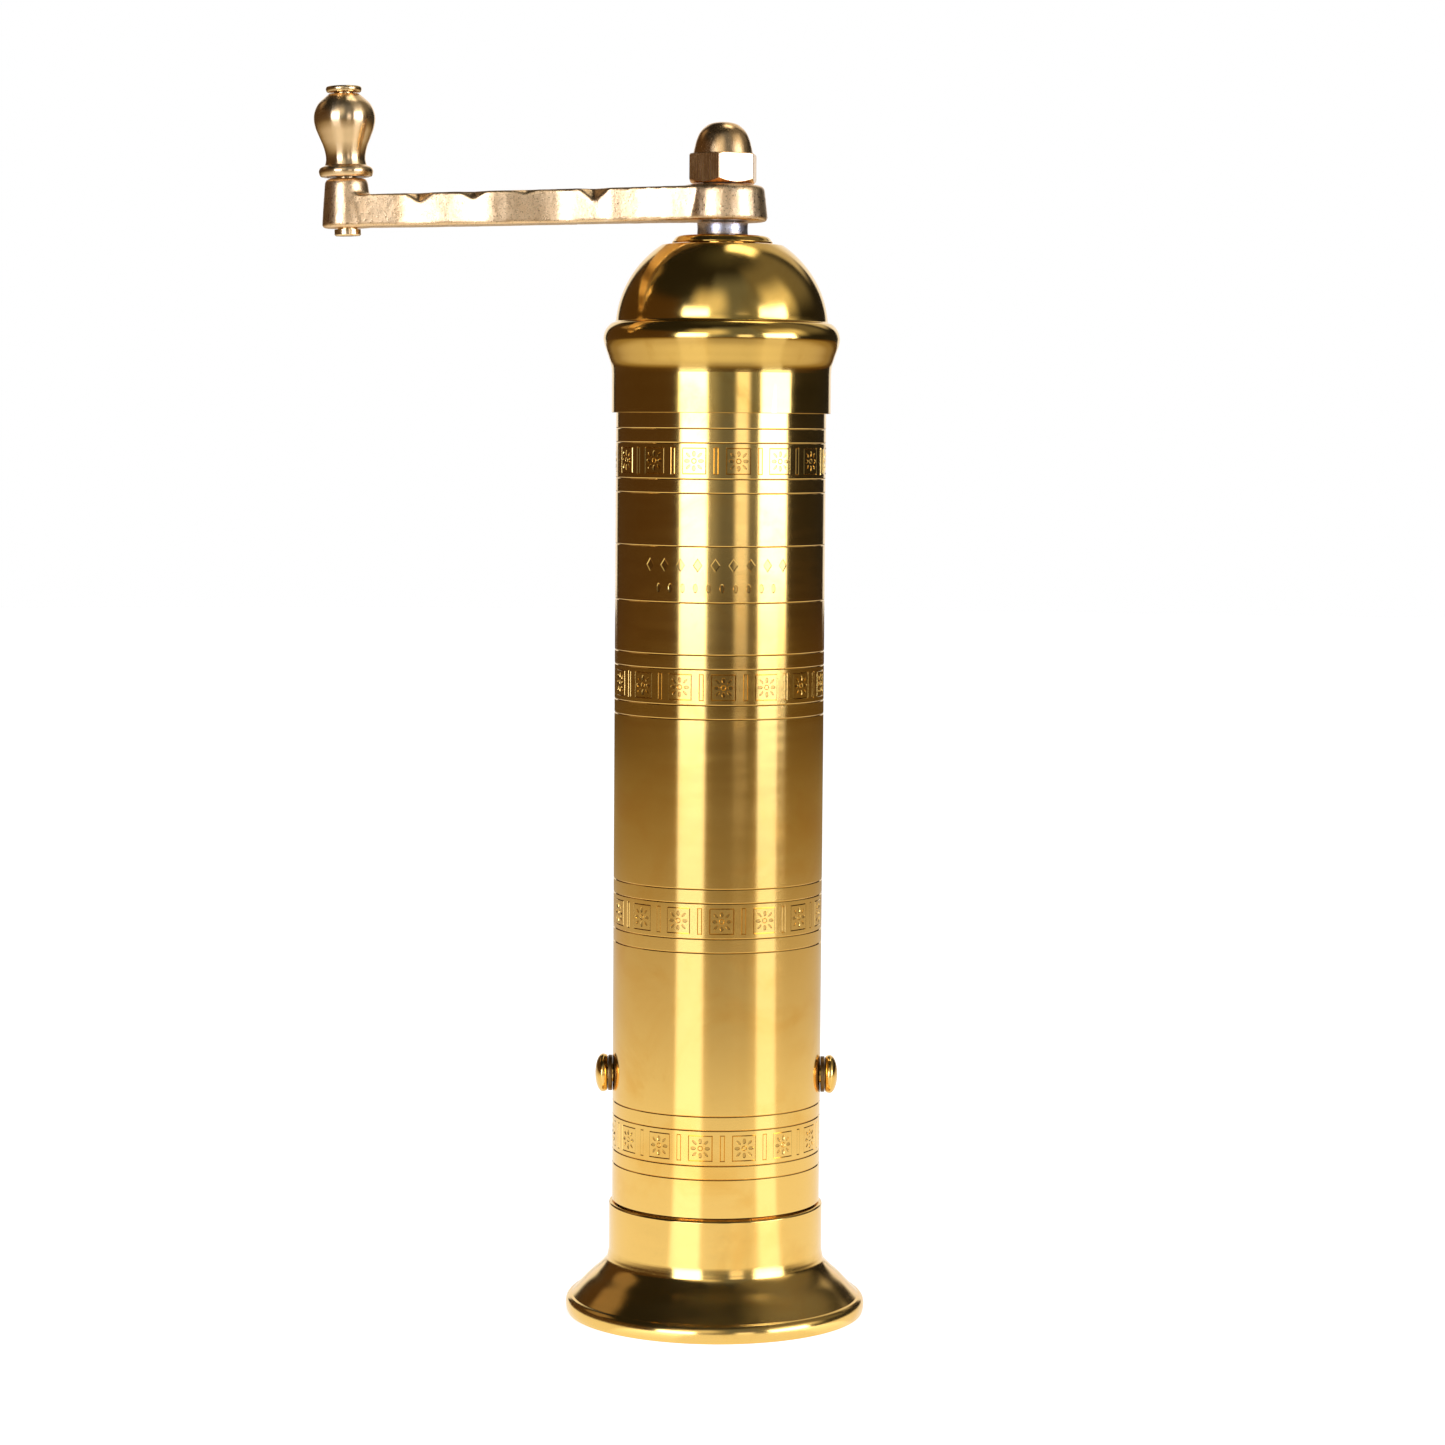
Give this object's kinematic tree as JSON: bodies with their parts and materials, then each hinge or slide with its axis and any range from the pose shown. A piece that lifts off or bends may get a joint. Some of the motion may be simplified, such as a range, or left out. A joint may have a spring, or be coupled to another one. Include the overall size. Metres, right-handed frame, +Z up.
{
  "type": "pepper mill",
  "caption": "Tall cylindrical brass pepper mill with a flared foot, a lift-off domed lid, a hand crank with a turned knob, and a conical burr that is set from below.",
  "frame": {"origin": "on the table under the middle of the object's box, crank included; the grinding axis stands 26.1 mm towards +X from it", "axes": "+Z up along the grinding axis; the crank arm points to -X; -Y is the side that the engraved front faces"},
  "size_m": [0.1142, 0.062, 0.2517],
  "materials": {
    "brass_body": "polished, fine lathe lines, light tarnish",
    "brass_lid": "bright polish, fine scratches",
    "brass_knob": "turned, satin",
    "brass_trim": "polished",
    "cast_bronze": "sand-cast grain, tumbled",
    "nut_bronze": "machined, satin",
    "steel": "turned, light wear",
    "burr_steel": "hardened, dull"
  },
  "bodies": {
    "housing": {"foot": "brass_body", "body_tube": "brass_body", "burr_ring": "burr_steel", "side_screw_left": "brass_trim", "side_screw_right": "brass_trim", "side_ferrule_left": "brass_trim", "side_ferrule_right": "brass_trim", "adjuster_bridge": "steel", "bridge_screw_front": "steel", "bridge_screw_back": "steel", "adjuster_spring": "steel"},
    "setting": {"thrust_ball": "steel"},
    "adjuster": {"adjusting_screw": "steel", "thumb_wheel": "brass_trim"},
    "burr": {"burr_cone": "burr_steel"},
    "lid": {"lid_shell": "brass_lid", "lid_bush": "brass_lid", "lid_bush_nut": "brass_trim"},
    "crank": {"drive_shaft": "steel", "spacer_sleeve": "steel", "retaining_washer": "steel", "retaining_clip": "steel", "crank_arm": "cast_bronze", "cap_nut": "nut_bronze", "knob_pin": "brass_trim", "knob_washer": "steel"},
    "knob": {"knob_grip": "brass_knob"}
  },
  "joints": [
    {"name": "lid_lift", "type": "slide", "parent": "housing", "child": "lid", "axis": [0, 0, 1], "range_m": [0, 0.15]},
    {"name": "crank_turn", "type": "hinge", "parent": "lid", "child": "crank", "pos_m": [0.02613, 0, 0.2249], "axis": [0, 0, 1], "continuous": true},
    {"name": "knob_spin", "type": "hinge", "parent": "crank", "child": "knob", "pos_m": [-0.05034, 0, 0.22641], "axis": [-0.0279, 0, 0.9996], "continuous": true},
    {"name": "grind_setting", "type": "slide", "parent": "housing", "child": "setting", "axis": [0, 0, 1], "range_m": [-0.001, 0.001], "deforming": ["adjuster_spring"]},
    {"name": "adjuster_turn", "type": "hinge", "parent": "setting", "child": "adjuster", "pos_m": [0.02613, 0, 0.022], "axis": [0, 0, 1], "range_deg": [-360, 360]},
    {"name": "burr_turn", "type": "hinge", "parent": "setting", "child": "burr", "pos_m": [0.02613, 0, 0.0432], "axis": [0, 0, 1], "continuous": true}
  ],
  "couplings": [
    {"joint": "grind_setting", "follows": "adjuster_turn", "m_per_rad": 0.00015915},
    {"joint": "burr_turn", "follows": "crank_turn", "ratio": 1}
  ]
}
